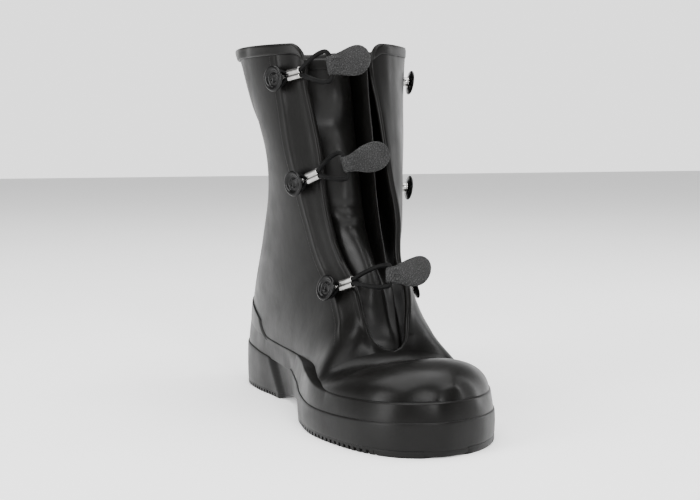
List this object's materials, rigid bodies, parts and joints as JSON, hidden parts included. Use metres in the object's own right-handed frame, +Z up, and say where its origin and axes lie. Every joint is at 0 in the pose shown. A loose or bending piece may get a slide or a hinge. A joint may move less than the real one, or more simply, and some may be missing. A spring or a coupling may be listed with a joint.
{
  "type": "rubber overboot",
  "caption": "Black rubber overboot with an open gusseted front, elastic loops with leather pull tabs, and button studs either side.",
  "frame": {"origin": "on the floor under the ball of the foot, on the middle plane of the shaft", "axes": "+Z up, toe towards -Y, outer side of the left foot towards +X"},
  "size_m": [0.1321, 0.3205, 0.265],
  "materials": {
    "upper_rubber": "satin",
    "sole_rubber": "satin",
    "trim_rubber": "satin",
    "gusset_rubber": "satin",
    "core_foam": "matte",
    "lining": "matte",
    "button_black": "gloss",
    "polished_metal": "polished",
    "elastic_cord": "satin",
    "tab_leather": "pebbled"
  },
  "bodies": {
    "boot": {"outsole": "sole_rubber", "sole_core": "core_foam", "sidewall": "sole_rubber", "foxing_strip": "upper_rubber", "upper": "upper_rubber", "heel_counter": "upper_rubber", "insole": "lining", "cuff_binding_back": "trim_rubber", "gusset_inner": "gusset_rubber", "gusset_outer": "gusset_rubber", "gusset_binding_inner": "trim_rubber", "gusset_binding_outer": "trim_rubber"},
    "flap_inner": {"flap_inner": "upper_rubber", "facing_inner": "upper_rubber", "cuff_binding_inner": "trim_rubber", "button_caps_inner": "button_black", "button_posts_inner": "polished_metal", "button_washers_inner": "polished_metal"},
    "flap_outer": {"flap_outer": "upper_rubber", "facing_outer": "upper_rubber", "cuff_binding_outer": "trim_rubber", "button_caps_outer": "button_black", "button_posts_outer": "polished_metal", "button_washers_outer": "polished_metal"},
    "loop_1": {"loop_cord_1": "elastic_cord", "ferrule_1": "polished_metal"},
    "loop_end_1": {"loop_end_1": "elastic_cord"},
    "pull_tab_1": {"pull_tab_1": "tab_leather"},
    "loop_2": {"loop_cord_2": "elastic_cord", "ferrule_2": "polished_metal"},
    "loop_end_2": {"loop_end_2": "elastic_cord"},
    "pull_tab_2": {"pull_tab_2": "tab_leather"},
    "loop_3": {"loop_cord_3": "elastic_cord", "ferrule_3": "polished_metal"},
    "loop_end_3": {"loop_end_3": "elastic_cord"},
    "pull_tab_3": {"pull_tab_3": "tab_leather"}
  },
  "joints": [
    {"name": "flap_inner_open", "type": "hinge", "parent": "boot", "child": "flap_inner", "pos_m": [-0.025, 0.05, 0.058], "axis": [-0.1293, 0.576, 0.8072], "range_deg": [-20, 10], "stiffness_Nm_per_rad": 3, "deforming": ["gusset_inner", "gusset_binding_inner"]},
    {"name": "flap_outer_open", "type": "hinge", "parent": "boot", "child": "flap_outer", "pos_m": [0.025, 0.05, 0.058], "axis": [-0.1293, -0.576, -0.8072], "range_deg": [-20, 10], "stiffness_Nm_per_rad": 3, "deforming": ["gusset_outer", "gusset_binding_outer"]},
    {"name": "loop_1_swivel", "type": "hinge", "parent": "flap_inner", "child": "loop_1", "pos_m": [-0.05297, 0.11236, 0.24028], "axis": [-0.9099, -0.4112, -0.0552], "range_deg": [-30, 35]},
    {"name": "loop_1_stretch", "type": "slide", "parent": "loop_1", "child": "loop_end_1", "axis": [0.686, -0.7085, 0.1657], "range_m": [0, 0.016], "stiffness_N_per_m": 250, "deforming": ["loop_cord_1"]},
    {"name": "pull_tab_1_swing", "type": "hinge", "parent": "loop_end_1", "child": "pull_tab_1", "pos_m": [-0.02837, 0.07269, 0.24796], "axis": [0.1141, -0.1201, -0.9862], "range_deg": [-15, 60]},
    {"name": "loop_2_swivel", "type": "hinge", "parent": "flap_inner", "child": "loop_2", "pos_m": [-0.04432, 0.09506, 0.1657], "axis": [-0.9302, -0.3591, -0.0758], "range_deg": [-20, 20]},
    {"name": "loop_2_stretch", "type": "slide", "parent": "loop_2", "child": "loop_end_2", "axis": [0.8841, -0.3788, 0.2738], "range_m": [0, 0.016], "stiffness_N_per_m": 250, "deforming": ["loop_cord_2"]},
    {"name": "pull_tab_2_swing", "type": "hinge", "parent": "loop_end_2", "child": "pull_tab_2", "pos_m": [-0.02063, 0.06294, 0.17919], "axis": [0.1797, -0.2654, -0.9472], "range_deg": [-8, 60]},
    {"name": "loop_3_swivel", "type": "hinge", "parent": "flap_inner", "child": "loop_3", "pos_m": [-0.03138, 0.06591, 0.09201], "axis": [-0.9287, -0.2716, 0.2527], "range_deg": [-20, 35]},
    {"name": "loop_3_stretch", "type": "slide", "parent": "loop_3", "child": "loop_end_3", "axis": [0.69, -0.7034, 0.1704], "range_m": [0, 0.016], "stiffness_N_per_m": 250, "deforming": ["loop_cord_3"]},
    {"name": "pull_tab_3_swing", "type": "hinge", "parent": "loop_end_3", "child": "pull_tab_3", "pos_m": [-0.00525, 0.02355, 0.10468], "axis": [-0.1439, -0.3641, -0.9202], "range_deg": [-15, 60]}
  ]
}
